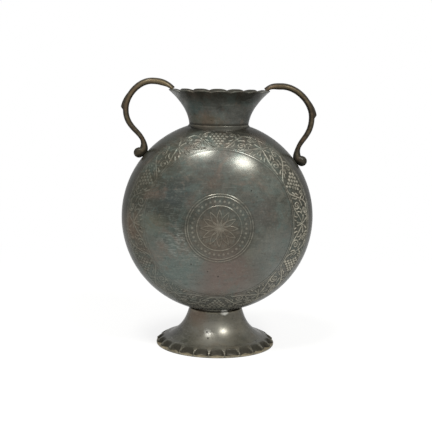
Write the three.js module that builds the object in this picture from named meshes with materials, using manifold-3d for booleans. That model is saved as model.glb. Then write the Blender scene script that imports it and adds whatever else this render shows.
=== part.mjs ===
// Bronze amphora: a flask-shaped body of two domed halves on a fluted foot, with a flared neck
// and two scroll handles. Millimetres, +Z up, the front faces -Y. The origin is the middle of
// the circle that the foot stands on.
import * as THREE from 'three';
import { mergeVertices } from 'three/addons/utils/BufferGeometryUtils.js';
import Module from 'manifold-3d';

const wasm = await Module();
wasm.setup();

// Gap that solder fills between two pieces
const solderGap = 0.3;

// Body
const bodyRadius = 70;
const bodyHalfDepth = 50;
const domeFullness = 2.1;
const shellWall = 1.6;
const lapLength = 4;
const lapWall = 1.4;

// Neck: a flare drawn as one curve, upright at the base and leaning out at the rim
const neckBaseRadius = 21.5;
const neckHeight = 24.2;
const neckWall = 1.8;
const neckStem = 9.8;
const neckStemFlare = 1.2;
const rimRadius = 36.4;
const rimFlareOut = 7.7;
const rimFlareUp = 7.6;
const rimLobes = 16;
const lobeNotch = 1.9;
const lobeReach = 5;
const lobeSharpness = 2.5;

// Ring between the body and the neck
const collarStep = 0.4;
const collarCove = 0.4;
const collarRise = 0.7;
const collarEdge = 0.3;
const spigotWall = 1;
const spigotReach = 1;

// Foot: a trumpet drawn as one curve from the flange up to the lip, and a flange with flutes
const footHeight = 27.5;
const footLipRadius = 19.6;
const footLipRound = 0.9;
const footWall = 2.2;
const footStem = 8.5;
const footStemFlare = 2.4;
const trumpetRadius = 35;
const trumpetHeight = 6.4;
const trumpetSweepIn = 10;
const trumpetSweepUp = 5.2;
const flangeRadius = 43.6;
const flangeEdgeHeight = 2.2;
const flangeEdgeRound = 0.6;
const flangeCrown = 0.8;
const baseRingHeight = 1.1;
const standingWidth = 3.4;
const flutes = 24;
const fluteDepth = 2.3;
const fluteEdgeBite = 1.2;

// Tube between the foot and the body
const footCollarWall = 1.6;
const footCollarDepth = 6;

// Handles: one casting used twice and set by hand, so each has its own arch and seat on the body
const handleOverhang = 30.9;
const handleInset = 2.4;
const archThickness = 4.5;
const elbowThickness = 3.9;
const waistThickness = 3.2;
const widthOverThickness = 1.3;
const spineRise = 0.3;
const seatTaper = 10;
const ballRadius = 3.75;
const ballSeat = 0.1;
const pearLength = 13;
const curlIn = 3.7;
const curlRise = 4.6;
const curlTilt = 20;
const spurHeight = 1.5;
const spurAboveElbow = 1.5;
const spurRamp = 10;
const spurDrop = 2;
const leftSet = { archOut: 12.3, archRise: 5.8, elbowDrop: 14.6, ballAngle: 38.6 };
const rightSet = { archOut: 8.6, archRise: 3.4, elbowDrop: 18.5, ballAngle: 34.3 };

// Shares that shape curves: how far a bend holds its direction, how square the strap is, and how
// much of its underside is left at the rim
const archHold = 0.3;
const apexHold = 0.45;
const elbowHold = 0.5;
const fallHold = 0.55;
const heelHold = 0.42;
const curlHold = 0.6;
const strapSquareness = 0.75;
const seatThinness = 0.3;
const lipBevel = 0.3;

// Rows of a flute, as shares of the way from the flange's edge to the trumpet and of its depth
const fluteRows = [
  { way: 0, depth: 0.4 },
  { way: 0.2, depth: 0.95 },
  { way: 0.4, depth: 0.8 },
  { way: 0.6, depth: 0 },
];

// Facets
const bodyFacets = 48;
const domeSteps = 9;
const neckSteps = 6;
const neckInnerSteps = 3;
const facetsPerLobe = 6;
const trumpetSteps = 6;
const trumpetInnerSteps = 3;
const facetsPerFlute = 4;
const handleSides = 12;
const archRings = 14;
const fallRings = 9;
const curlRings = 6;
const ballRings = 3;

// Places that follow from the sizes above
const throatRadius = neckBaseRadius - neckWall;
const collarRadius = neckBaseRadius + collarStep;
const spigotRadius = throatRadius + spigotWall;
const holeRadius = spigotRadius + solderGap;
const innerRadius = bodyRadius - shellWall;
const innerHalfDepth = bodyHalfDepth - shellWall;
const seatRadius = bodyRadius + solderGap;
const footThroatRadius = footLipRadius - footWall;
const bodyCentreZ = footHeight + Math.sqrt(seatRadius ** 2 - footLipRadius ** 2);
const collarTopZ = bodyCentreZ + Math.sqrt(seatRadius ** 2 - collarRadius ** 2) + collarRise;
const neckBaseZ = collarTopZ + solderGap;
const rimZ = neckBaseZ + neckHeight;

const flat = (x, y) => new THREE.Vector2(x, y);

// Closed geometry: shared vertices merged, empty triangles dropped and faces turned outwards
function closed(geometry) {
  geometry.deleteAttribute('normal');
  geometry.deleteAttribute('uv');
  const merged = mergeVertices(geometry);
  const point = (i) => new THREE.Vector3().fromBufferAttribute(merged.attributes.position, i);
  const triangles = [];
  let volume = 0;
  for (let i = 0; i < merged.index.count; i += 3) {
    const [a, b, c] = [0, 1, 2].map((k) => merged.index.getX(i + k));
    if (a !== b && b !== c && c !== a) {
      triangles.push([a, b, c]);
      volume += point(a).dot(point(b).cross(point(c)));
    }
  }
  const facing = volume < 0 ? triangles.map(([a, b, c]) => [a, c, b]) : triangles;
  merged.setIndex(facing.flat());
  return merged;
}

function toSolid(geometry) {
  const mesh = new wasm.Mesh({
    numProp: 3,
    vertProperties: new Float32Array(geometry.attributes.position.array),
    triVerts: new Uint32Array(geometry.index.array),
  });
  return new wasm.Manifold(mesh);
}

function fromSolid(solid) {
  const mesh = solid.getMesh();
  const geometry = new THREE.BufferGeometry();
  geometry.setAttribute('position', new THREE.BufferAttribute(mesh.vertProperties, 3));
  geometry.setIndex(new THREE.BufferAttribute(mesh.triVerts, 1));
  return geometry;
}

// Turned about the front-to-back axis through the middle of the body. Points are (radius, depth).
function turnedOnDepth(outline) {
  return closed(new THREE.LatheGeometry(outline, bodyFacets).translate(0, 0, bodyCentreZ));
}

// Turned about the upright axis. Points are (radius, height), and shape moves each one by where
// it is on the outline and round the turn, which makes lobes and flutes. Angle 0 is the front.
function turnedUpright(outline, facets, shape = (point) => point) {
  const geometry = new THREE.LatheGeometry(outline, facets);
  const { position } = geometry.attributes;
  for (let turn = 0; turn <= facets; turn += 1) {
    const angle = ((turn % facets) / facets) * 2 * Math.PI;
    outline.forEach((point, index) => {
      const { x, y } = shape(point, index, angle);
      position.setXYZ(turn * outline.length + index, x * Math.sin(angle), y, x * Math.cos(angle));
    });
  }
  return closed(geometry.rotateX(Math.PI / 2));
}

// Quarter outline of a dome, from its pole on the axis to its edge at the seam
function domeOutline(radius, halfDepth) {
  const power = 2 / domeFullness;
  return Array.from({ length: domeSteps + 1 }, (_, i) => {
    const angle = (i / domeSteps) * (Math.PI / 2);
    const depth = i === domeSteps ? 0 : halfDepth * Math.cos(angle) ** power;
    return flat(radius * Math.sin(angle) ** power, depth);
  });
}

// Where a dome's outline crosses: its size one way at a given distance along the other way
function acrossDome(along, alongSize, acrossSize) {
  return acrossSize * (1 - (along / alongSize) ** domeFullness) ** (1 / domeFullness);
}

// The outside of the whole body, grown by the solder gap, to cut what seats on it
function bodyTool() {
  const half = domeOutline(seatRadius, bodyHalfDepth + solderGap);
  const other = half.slice(0, -1).reverse().map((p) => flat(p.x, -p.y));
  return toSolid(turnedOnDepth([...half, ...other]));
}

function holeTool() {
  const above = bodyCentreZ + seatRadius;
  const outline = [
    flat(0, bodyCentreZ),
    flat(holeRadius, bodyCentreZ),
    flat(holeRadius, above),
    flat(0, above),
  ];
  return toSolid(turnedUpright(outline, bodyFacets));
}

// Front half: out along the outside, back along the inside, with a hole for the neck
function frontShell() {
  const seam = solderGap / 2;
  const outside = domeOutline(bodyRadius, bodyHalfDepth).slice(0, -1);
  const inside = domeOutline(innerRadius, innerHalfDepth).slice(0, -1);
  const edge = [flat(bodyRadius, seam), flat(innerRadius, seam)];
  const outline = [...outside, ...edge, ...inside.reverse()].map((p) => flat(p.x, -p.y));
  return fromSolid(toSolid(turnedOnDepth(outline)).subtract(holeTool()));
}

// Rear half: the same, with a lip stepped inwards that laps inside the front half
function rearShell() {
  const seam = solderGap / 2;
  const lapRadius = acrossDome(lapLength, innerHalfDepth, innerRadius) - solderGap;
  const lipInside = lapRadius - lapWall;
  const taperEnd = lapLength + innerRadius - lipInside;
  const outside = domeOutline(bodyRadius, bodyHalfDepth).slice(0, -1);
  const inside = domeOutline(innerRadius, innerHalfDepth).filter((p) => p.y > taperEnd);
  const lip = [
    flat(bodyRadius, seam),
    flat(lapRadius, seam),
    flat(lapRadius, -lapLength),
    flat(lipInside, -lapLength),
    flat(lipInside, lapLength),
    flat(acrossDome(taperEnd, innerHalfDepth, innerRadius), taperEnd),
  ];
  const outline = [...outside, ...lip, ...inside.reverse()];
  return fromSolid(toSolid(turnedOnDepth(outline)).subtract(holeTool()));
}

// Ring that carries the neck: flat on top, cut to the body below, with a spigot through the hole
function neckCollar() {
  const spigotEnd = bodyCentreZ + acrossDome(holeRadius, innerHalfDepth, innerRadius) - spigotReach;
  const ring = [
    flat(throatRadius, spigotEnd),
    flat(collarRadius + collarCove, spigotEnd),
    flat(collarRadius, collarTopZ - collarRise),
    flat(collarRadius, collarTopZ - collarEdge),
    flat(collarRadius - collarEdge, collarTopZ),
    flat(throatRadius, collarTopZ),
    flat(throatRadius, spigotEnd),
  ];
  const spigot = [
    flat(throatRadius, spigotEnd),
    flat(spigotRadius, spigotEnd),
    flat(spigotRadius, collarTopZ - collarEdge),
    flat(throatRadius, collarTopZ - collarEdge),
    flat(throatRadius, spigotEnd),
  ];
  const [ringSolid, spigotSolid] = [ring, spigot].map((p) => toSolid(turnedUpright(p, bodyFacets)));
  return fromSolid(ringSolid.subtract(bodyTool()).add(spigotSolid));
}

// Points along a curve, at a distance to the left of its direction
function lineBeside(curve, steps, distance) {
  return Array.from({ length: steps + 1 }, (_, i) => {
    const point = curve.getPoint(i / steps);
    const along = curve.getTangent(i / steps);
    return flat(point.x - along.y * distance, point.y + along.x * distance);
  });
}

function neckCurve() {
  return new THREE.CubicBezierCurve(
    flat(neckBaseRadius, neckBaseZ),
    flat(neckBaseRadius + neckStemFlare, neckBaseZ + neckStem),
    flat(rimRadius - rimFlareOut, rimZ - rimFlareUp),
    flat(rimRadius, rimZ),
  );
}

// Flared neck, whose rim is a ring of round lobes that meet in sharp notches
function neck() {
  const curve = neckCurve();
  const slope = curve.getTangent(1);
  const outside = curve.getPoints(neckSteps);
  const inside = lineBeside(curve, neckInnerSteps, neckWall);
  inside[0] = flat(throatRadius, neckBaseZ);
  const outline = [...outside, ...inside.reverse(), outside[0]];
  const lobed = (point, index, angle) => {
    const lobe = (angle * rimLobes) / (2 * Math.PI);
    const fromCrest = 2 * Math.abs(lobe - Math.round(lobe));
    const nearRim = THREE.MathUtils.clamp(1 - (rimZ - point.y) / lobeReach, 0, 1);
    const notch = lobeNotch * nearRim * fromCrest ** lobeSharpness;
    return flat(point.x - slope.x * notch, point.y - slope.y * notch);
  };
  return turnedUpright(outline, rimLobes * facetsPerLobe, lobed);
}

// The neck with its mouth filled, grown by the solder gap, to cut the handles' upper ends
function neckTool() {
  const outside = lineBeside(neckCurve(), neckSteps, -solderGap);
  const crest = lineBeside(neckCurve(), 1, neckWall + solderGap)[1];
  const outline = [flat(0, outside[0].y), ...outside, crest, flat(0, crest.y)];
  return toSolid(turnedUpright(outline, rimLobes * facetsPerLobe));
}

function footCurve() {
  const lip = flat(footLipRadius, footHeight - footLipRound);
  return new THREE.CubicBezierCurve(
    flat(trumpetRadius, trumpetHeight),
    flat(trumpetRadius - trumpetSweepIn, trumpetHeight + trumpetSweepUp),
    flat(lip.x + footStemFlare, lip.y - footStem),
    lip,
  );
}

// Top of the flange, from its edge to the trumpet, a little crowned
function flangeCurve(trumpetStart) {
  const edge = flat(flangeRadius, flangeEdgeHeight);
  const along = trumpetStart.clone().sub(edge).normalize();
  const middle = edge.clone().lerp(trumpetStart, 0.5);
  const crown = middle.add(flat(along.y, -along.x).multiplyScalar(2 * flangeCrown));
  return new THREE.QuadraticBezierCurve(edge, crown, trumpetStart);
}

// Hollow foot. Its flange has short scooped flutes with sharp ridges between them. They end on a
// plain base ring, and bite into the flange's edge above it.
function foot() {
  const trumpet = footCurve();
  const inside = lineBeside(trumpet, trumpetInnerSteps, footWall).reverse();
  const standing = flangeRadius - flangeEdgeRound;
  const flange = flangeCurve(trumpet.getPoint(0));
  const lipCut = lipBevel * footLipRound;
  const baseRing = [
    flat(standing, 0),
    flat(flangeRadius, flangeEdgeRound),
    flat(flangeRadius, baseRingHeight),
  ];
  const outline = [
    ...baseRing,
    ...fluteRows.map(({ way }) => flange.getPoint(way)),
    ...trumpet.getPoints(trumpetSteps),
    flat(footLipRadius - lipCut, footHeight - lipCut),
    flat(footLipRadius - footLipRound, footHeight),
    flat(footThroatRadius, footHeight),
    ...inside,
    flat(standing - standingWidth, 0),
    flat(standing, 0),
  ];
  const fluted = (point, index, angle) => {
    const row = fluteRows[index - baseRing.length];
    const across = ((angle * flutes) / (2 * Math.PI) + 0.5) % 1;
    const scoop = row ? 4 * across * (1 - across) : 0;
    const bite = row?.way === 0 ? fluteEdgeBite * scoop : 0;
    return flat(point.x - bite, point.y - fluteDepth * (row?.depth ?? 0) * scoop);
  };
  return fromSolid(toSolid(turnedUpright(outline, flutes * facetsPerFlute, fluted)).subtract(bodyTool()));
}

// Tube that lines the top of the foot and takes the underside of the body
function footCollar() {
  const outside = footThroatRadius - solderGap;
  const inside = outside - footCollarWall;
  const bottom = footHeight - footCollarDepth;
  const outline = [
    flat(inside, bottom),
    flat(outside, bottom),
    flat(outside, bodyCentreZ),
    flat(inside, bodyCentreZ),
    flat(inside, bottom),
  ];
  return fromSolid(toSolid(turnedUpright(outline, bodyFacets)).subtract(bodyTool()));
}

// Solid through a row of rings with equal numbers of points, capped at both ends
function loft(rings) {
  const sides = rings[0].length;
  const points = rings.flat();
  const triangles = [];
  for (let ring = 0; ring + 1 < rings.length; ring += 1) {
    for (let k = 0; k < sides; k += 1) {
      const [a, b] = [ring * sides + k, ring * sides + ((k + 1) % sides)];
      triangles.push(a, b, b + sides, a, b + sides, a + sides);
    }
  }
  const last = points.length - sides;
  for (let k = 1; k + 1 < sides; k += 1) {
    triangles.push(0, k + 1, k, last, last + k, last + k + 1);
  }
  const geometry = new THREE.BufferGeometry().setFromPoints(points);
  geometry.setIndex(triangles);
  return closed(geometry);
}

// Middle line of a handle: from the rim over the arch to the elbow, in to the heel, and out
// again through the ball. Points are (distance from the axis, height).
function handleRoute(side, { archOut, archRise, elbowDrop, ballAngle }) {
  const up = THREE.MathUtils.degToRad(ballAngle);
  const down = THREE.MathUtils.degToRad(curlTilt);
  const ballReach = seatRadius + ballRadius - ballSeat;
  const seat = flat(rimRadius - handleInset, rimZ);
  const apex = flat(rimRadius + archOut, rimZ + archRise);
  const elbow = flat(rimRadius + handleOverhang, rimZ - elbowDrop);
  const ball = flat(ballReach * Math.cos(up), bodyCentreZ + ballReach * Math.sin(up));
  const heel = flat(ball.x - curlIn, ball.y + curlRise);
  const ballWay = flat(Math.cos(down), -Math.sin(down));
  const tip = ball.clone().addScaledVector(ballWay, ballRadius);
  const span = apex.x - seat.x;
  const fall = elbow.y - heel.y;
  const bends = [
    [
      seat,
      flat(seat.x + archHold * span, seat.y + archHold * span),
      flat(apex.x - apexHold * span, apex.y),
      apex,
    ],
    [
      apex,
      flat(apex.x + elbowHold * (elbow.x - apex.x), apex.y),
      flat(elbow.x, elbow.y + elbowHold * (apex.y - elbow.y)),
      elbow,
    ],
    [elbow, flat(elbow.x, elbow.y - fallHold * fall), flat(heel.x, heel.y + heelHold * fall), heel],
    [
      heel,
      flat(heel.x, heel.y - curlHold * curlRise),
      ball.clone().addScaledVector(ballWay, -curlHold * curlRise),
      ball,
    ],
    [ball, ball.clone().lerp(tip, 1 / 3), ball.clone().lerp(tip, 2 / 3), tip],
  ];
  const route = new THREE.CurvePath();
  for (const bend of bends) {
    const points = bend.map((p) => new THREE.Vector3(side * p.x, 0, p.y));
    route.add(new THREE.CubicBezierCurve3(...points));
  }
  return route;
}

// Distances along a handle where its rings lie: evenly between its places, and drawn together
// at the tip so that the ball ends round
function handleStations({ spurAt, heelAt, ballAt }) {
  const stretches = [
    [0, spurAt, archRings],
    [spurAt, spurAt + spurDrop, 1],
    [spurAt + spurDrop, heelAt, fallRings],
    [heelAt, ballAt, curlRings],
  ];
  const even = stretches.flatMap(([from, to, steps]) =>
    Array.from({ length: steps }, (_, i) => from + ((to - from) * i) / steps),
  );
  const end = Array.from({ length: ballRings + 1 }, (_, i) =>
    ballAt + ballRadius * Math.sin((i / ballRings) * (Math.PI / 2)),
  );
  return [...even, ...end];
}

// Half thickness of a handle at a distance along it: a strap that swells into a ball
function handleHalf(at, { elbowAt, heelAt, ballAt }) {
  const { lerp, smoothstep, clamp } = THREE.MathUtils;
  const arch = lerp(archThickness, elbowThickness, clamp(at / elbowAt, 0, 1));
  const strap = lerp(arch, waistThickness, smoothstep(at, elbowAt, heelAt)) / 2;
  const pear = lerp(strap, ballRadius, smoothstep(at, ballAt - pearLength, ballAt));
  const pastBall = Math.max(0, at - ballAt) / ballRadius;
  return pear * Math.sqrt(Math.max(0, 1 - pastBall ** 2));
}

// Cast handle: a strap with a spine, whose underside runs out thin on the rim, thinner towards the
// waist, with a spur on its outside and a ball at its end. It is cut to seat on the rim and on the
// body. Side is 1 for the right and -1 for the left.
function handle(side, set) {
  const { lerp, smoothstep } = THREE.MathUtils;
  const route = handleRoute(side, set);
  const [, elbowAt, heelAt, ballAt, whole] = route.getCurveLengths();
  const places = { elbowAt, heelAt, ballAt, spurAt: elbowAt - spurAboveElbow };
  const rings = handleStations(places).map((at) => {
    const share = Math.min(1, at / whole);
    const middle = route.getPoint(share);
    const along = route.getTangent(share);
    const outward = new THREE.Vector3(-along.z * side, 0, along.x * side);
    const half = handleHalf(at, places);
    const roundness = smoothstep(at, heelAt - pearLength, heelAt);
    const power = lerp(strapSquareness, 1, roundness);
    const width = half * lerp(widthOverThickness, 1, roundness);
    const under = lerp(seatThinness, 1, smoothstep(at, 0, seatTaper));
    const pastSpur = at - places.spurAt;
    const spur = spurHeight * Math.max(0, Math.min(1 + pastSpur / spurRamp, 1 - pastSpur / spurDrop));
    return Array.from({ length: handleSides }, (_, k) => {
      const turn = (k / handleSides) * 2 * Math.PI;
      const [c, s] = [Math.cos(turn), Math.sin(turn)];
      const spine = k === 0 ? spineRise * (1 - roundness) : 0;
      const strap = half * (c < 0 ? -under : 1) * Math.abs(c) ** power;
      const out = strap + spine + spur * Math.max(0, c) ** 2;
      const across = width * Math.sign(s) * Math.abs(s) ** power;
      return middle.clone().addScaledVector(outward, out).setY(across);
    });
  });
  return fromSolid(toSolid(loft(rings)).subtract(neckTool()).subtract(bodyTool()));
}

const patina = { color: 0x62615a, roughness: 0.42, metalness: 0.85 };
const darkPatina = { color: 0x4a4b45, roughness: 0.45, metalness: 0.85 };
const rubbedBronze = { color: 0x6f6450, roughness: 0.38, metalness: 0.9 };

const pieces = [
  ['front_shell', frontShell(), patina],
  ['rear_shell', rearShell(), patina],
  ['neck_collar', neckCollar(), darkPatina],
  ['neck', neck(), patina],
  ['foot_collar', footCollar(), darkPatina],
  ['foot', foot(), patina],
  ['left_handle', handle(-1, leftSet), rubbedBronze],
  ['right_handle', handle(1, rightSet), rubbedBronze],
];

const amphora = new THREE.Group();
for (const [name, geometry, finish] of pieces) {
  const piece = new THREE.Mesh(geometry, new THREE.MeshStandardMaterial(finish));
  piece.name = name;
  amphora.add(piece);
}

export default amphora;
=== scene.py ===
import math

import bmesh
import bpy
import numpy as np
from mathutils import Matrix, Vector


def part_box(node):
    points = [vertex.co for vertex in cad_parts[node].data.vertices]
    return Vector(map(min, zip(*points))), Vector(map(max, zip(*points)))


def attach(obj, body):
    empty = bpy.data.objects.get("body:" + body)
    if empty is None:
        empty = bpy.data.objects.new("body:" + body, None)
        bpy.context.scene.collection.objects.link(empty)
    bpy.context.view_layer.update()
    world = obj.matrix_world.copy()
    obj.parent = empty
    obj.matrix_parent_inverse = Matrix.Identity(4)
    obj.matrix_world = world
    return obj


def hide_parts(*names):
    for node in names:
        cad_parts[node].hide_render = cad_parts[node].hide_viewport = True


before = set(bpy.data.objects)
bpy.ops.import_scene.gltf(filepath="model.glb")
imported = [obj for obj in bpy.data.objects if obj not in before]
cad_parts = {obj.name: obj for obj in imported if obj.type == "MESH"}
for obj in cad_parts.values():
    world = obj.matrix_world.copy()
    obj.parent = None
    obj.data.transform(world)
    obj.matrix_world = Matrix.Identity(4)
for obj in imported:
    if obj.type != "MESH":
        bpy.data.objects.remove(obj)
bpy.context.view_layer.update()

# Lengths are millimetres up to the making of a mesh, and named angles are degrees.
# The front faces -Y, and the angle round the body runs clockwise from its top.
# The points of a piece carry marks from 0 to 1 for its finish: rub where bare metal shows,
# the dark mark where dirt lies and where shade is painted, and matt where it has lost its polish.
MM = 0.001
FRONT, REAR = -1, 1
LEFT, RIGHT = -1, 1


def node_box(node):
    """Lowest and highest corner of a CAD node, in millimetres."""
    return [np.array(corner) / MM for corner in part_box(node)]


# Sizes taken from the frame
(_, front_low_y, front_low_z), (BODY_RADIUS, _, _) = node_box("front_shell")
BODY_HALF_DEPTH = -front_low_y
BODY_CENTRE_Z = front_low_z + BODY_RADIUS
(_, _, NECK_BASE_Z), (RIM_RADIUS, _, _) = node_box("neck")
_, (_, _, FOOT_HEIGHT) = node_box("foot")

# Body
DOME_FULLNESS = 2.1
SHELL_WALL = 1.6
SEAM_HALF_GAP = 0.15
SEAM_ROUND = 0.5
SEAM_TURNS = (60, 30, 0)
SEAM_DRAW = 0.6
LAP_LENGTH = 4.0
LAP_WALL = 1.4
LAP_GAP = 0.3
INSIDE_FROM = 3.0
NECK_HOLE_RADIUS = 21.0
NECK_HOLE_PAST = 5.0
OUTSIDE_LEVEL = 0.975

# Vine band, measured from the body's axis
BAND_INNER = 53.0
BAND_OUTER = 64.0
BAND_FADE = 0.8
SECTORS = 6
VINE_HEIGHT = 0.6
GROUND_DEPTH = 0.2
STEM_SWING = 7.8
STEM_TURNS = (3.2, 18.6)
STEM_HALF = 0.85
STEM_POINTS = 160
STALK_POINTS = 60
STROKE_HALF = 0.75
STROKE_POINTS = 24
SPIRAL_IN = 0.85
SPIRAL_EASE = 0.9
SPIRAL_POINTS = 120
LEAF_PLACE = 1.2
LEAF_RAYS = 8
LEAF_LENGTH = 7.0
LEAF_HEIGHT = 0.9
LEAF_LEAN_RADIANS = 0.2
LEAF_EYE = (0.2, 0.9)
RAY_HALF = 0.5
RAY_GROWTH = 0.6
RAY_CURVE = 1.3
RAY_ROUND_FROM = 0.84
GRAPE_RADIUS = 1.2
GRAPE_STEP = 2.75
GRAPE_ROW_SHARE = 0.86
GRAPE_ROWS = (1, 2, 3, 4, 5, 4)
GRAPE_TIP = -6.2
LINE_DEPTH = 0.25
LINE_HALF = 0.5
LINE_GAP = 1.4
VINE_GRID_STEP = 0.06
VINE_GRID_MARGIN = 2.0

# Lines of the vine from a bunch of grapes to the next leaf, along and across the band.
# A tendril has its lead, the lead's number of points, and a curl's middle, radius, start and turns.
TENDRILS = [
    ([(10.8, -7.6), (13.0, -7.4), (14.6, -7.1)], 40, ((16.0, -3.4), 3.5, -90, 1.6)),
    ([(12.9, 1.8), (12.4, 2.4), (11.6, 3.0)], 24, ((8.9, 4.6), 2.3, -20, 1.25)),
    ([(16.6, 6.6), (17.6, 7.0), (19.0, 7.2)], 24, ((20.6, 4.2), 2.4, 100, -1.3)),
]
LEAF_STALK = [(17.6, -6.3), (21.0, -6.2), (24.0, -2.6)]
STROKES = [
    [(21.4, -3.4), (21.2, -1.8), (21.8, -0.4), (23.4, 0.6)],
    [(19.2, -0.6), (19.8, 0.2), (21.0, 0.9), (22.4, 1.0)],
    [(24.0, -7.3), (24.6, -6.6), (25.2, -5.6), (25.3, -4.4)],
    [(27.2, -7.4), (27.5, -6.9), (27.9, -6.2), (28.0, -5.7)],
    [(24.6, 5.2), (25.0, 6.0), (25.3, 6.6), (25.4, 7.2)],
    [(5.8, -3.8), (6.6, -3.6), (7.4, -3.0), (7.8, -2.2)],
    [(7.4, -0.8), (8.4, -0.4), (9.2, 0.2), (9.6, 1.0)],
    [(9.6, -5.4), (10.6, -4.6), (11.2, -3.4), (11.2, -2.0)],
    [(12.2, 7.2), (13.0, 6.6), (13.6, 5.8), (13.8, 4.8)],
    [(5.0, 7.4), (6.0, 7.7), (7.4, 7.7), (8.4, 7.4)],
    [(22.8, 7.4), (23.6, 6.6), (23.8, 5.2), (23.2, 4.0)],
    [(13.4, 0.6), (14.4, 1.4), (15.8, 1.9), (17.4, 1.9)],
]

# Unevenness of handwork round the band, as waves of (height, number, start in radians)
ALONG_WANDER = [(0.014, 3, 0.7), (0.009, 8, 2.1)]
ACROSS_WANDER = [(0.3, 5, 1.0)]

# How far the band stands out on the front, by degrees round the body, and on the rear
BAND_CONTRAST = [
    (0, 0.2), (25, 0.28), (50, 0.5), (75, 1.0), (118, 1.0), (140, 0.75), (180, 0.45), (215, 0.25),
    (275, 0.22), (310, 0.14), (335, 0.16), (360, 0.2),
]
REAR_CONTRAST = 0.6
LEAST_RELIEF = 0.4
GROUND_DIRT = 0.12
HALO_DIRT = 0.75
HALO_REACH = 1.3
ROUND_HALO_SHARE = 0.6
# Painted shade past the band's outer edge, over the upper part of the body: strength, reach and the
# heights over which it fades in
BRIM_SHADE = 0.65
BRIM_SHADE_REACH = 2.0
BRIM_SHADE_HEIGHTS = (-20.0, 8.0)
LINE_RUB = 0.5
LINE_RUB_OUT = 0.8
LINE_RUB_HALF = 0.4

# Round field in the middle of the front
FIELD_DROP = 1.2
FIELD_RADIUS = 23.5
FIELD_HEIGHT = 0.3
FIELD_LINE_HALF = 0.55
FIELD_RINGS = (FIELD_RADIUS, 21.9, 15.6)
FIELD_BEADS = 36
FIELD_BEAD_RADIUS = 1.0
ROSETTE_RADIUS = 12.6
ROSETTE_PETALS = 12
ROSETTE_SHARE = 0.8
PETAL_FADE = 0.4
FIELD_FADE = 1.0
FIELD_RUB = 0.3
FIELD_GROUND_DIRT = 0.12
FIELD_HALO_DIRT = 0.65

# Rings of a shell: their distance apart or their number, and the points of each
FIELD_RING_RADII = np.arange(0.5, FIELD_RADIUS + 1.6, 0.39)
FIELD_RING_POINTS = [(3.0, 48), (8.0, 144), (math.inf, 432)]
PLAIN_RINGS = (1.6, 216)
PLAIN_FROM_MIDDLE = 2.5
PLAIN_FROM_FIELD = 3.0
PLAIN_TO_BAND = 0.6
BAND_RINGS = (0.42, 1080)
BAND_RINGS_PAST = (2.2, 1.0)
BRIM_RINGS = (9, 360)
INSIDE_RINGS = (14, 120)
NECK_HOLE_POINTS = 144

# Neck
NECK_WALL = 1.8
RIM_WALL = 1.0
RIM_TAPER = 8.0
NECK_HEIGHT = 24.2
NECK_BASE_RADIUS = 21.5
NECK_RINGS = 40
RIM = np.array([RIM_RADIUS, NECK_BASE_Z + NECK_HEIGHT])
NECK_SINK = 0.28
NECK_STEM = (1.2, 9.8)
RIM_FLARE = (7.7, 7.6)
RIM_LOBES = 16
LOBE_POINTS = 20
LOBE_NOTCH = 1.9
LOBE_REACH = 5.0
LOBE_SHARPNESS = 2.5
LOBE_SWELL = 0.35
SWELL_SHARPNESS = 1.5
SWELL_DROP = 0.4
LIP_RINGS = 9
LIP_ROUND = 0.55
LIP_SQUARENESS = 0.6
LIP_MARGIN = 0.1
LIP_RUB = 0.1
LIP_DIRT = 0.75
# Painted shade under the rim: how far below the rim it reaches, and the flanks where it fades out
FLARE_SHADE_REACH = 9.0
FLARE_SHADE_FLANKS = (0.3, 0.7)
NECK_BASE_DIRT = (0.4, 1.6)

# Collar between body and neck
COLLAR_STEP = 0.4
COLLAR_EDGE = 0.3
COLLAR_GAP = 0.3
COLLAR_SEAT = 0.12
COLLAR_OVER_BODY = 0.5
COLLAR_SQUEEZE = 0.4
COLLAR_POINTS = 192
SPIGOT_WALL = 1.0
SPIGOT_REACH = 1.0

# Rings on the collar's outside: radius over it, zone, height over that, rub and dirt
COLLAR_RINGS = [
    (0.55, "fillet", 0.08, 0.0, 1.0),
    (0.2, "fillet", 0.35, 0.0, 0.8),
    (0.0, "top", -0.9, 0.1, 0.5),
    (0.0, "top", -COLLAR_EDGE, 0.3, 0.1),
    (-0.08, "top", -0.1, 0.45, 0.0),
    (-COLLAR_EDGE, "top", 0.0, 0.3, 0.0),
]

# Foot
FOOT_LIP_RADIUS = 19.6
FOOT_LIP_ROUND = 0.9
FOOT_LIP_RUB = 0.16
FOOT_WALL = 2.2
FOOT_STEM = (2.4, -8.5)
TRUMPET_RADIUS = 35.0
TRUMPET_HEIGHT = 6.4
TRUMPET_SWEEP = (-10.0, 5.2)
TRUMPET_RINGS = 36
FLANGE_RADIUS = 43.6
FLANGE_EDGE_HEIGHT = 2.2
FLANGE_EDGE_ROUND = 0.6
FLANGE_CROWN = 0.8
BASE_RING_HEIGHT = 1.1
BASE_RING_ROUND = (0.1, 0.15)
# Painted shade on the underside of the base ring
BASE_RING_SHADE = 0.35
STANDING_WIDTH = 3.4

# Flutes of the foot's flange, with reaches as shares of the way up its slope
FLUTES = 24
FLUTE_POINTS = 24
SLOPE_RINGS = 29
FLUTE_REACH = 0.62
FLUTE_ARCH = 8
FLUTE_WALL = 0.30
FLUTE_FLOOR = 1.25
FLUTE_FALL = 0.10
FLUTE_BITE = 1.2
FLUTE_BITE_REACH = 0.15
HOLLOW_FADE = (-0.16, 0.06)
CRESCENT_REACH = 0.36
CRESCENT_FADE = (-0.02, 0.06)
CRESCENT_FLOOR = (0.7, 0.95)
RIDGE_SHARE = (0.06, 0.16)
RIDGE_HALF = 1.6
RIDGE_END = (0.5, 0.75)
RIDGE_RUB = 0.04

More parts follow.
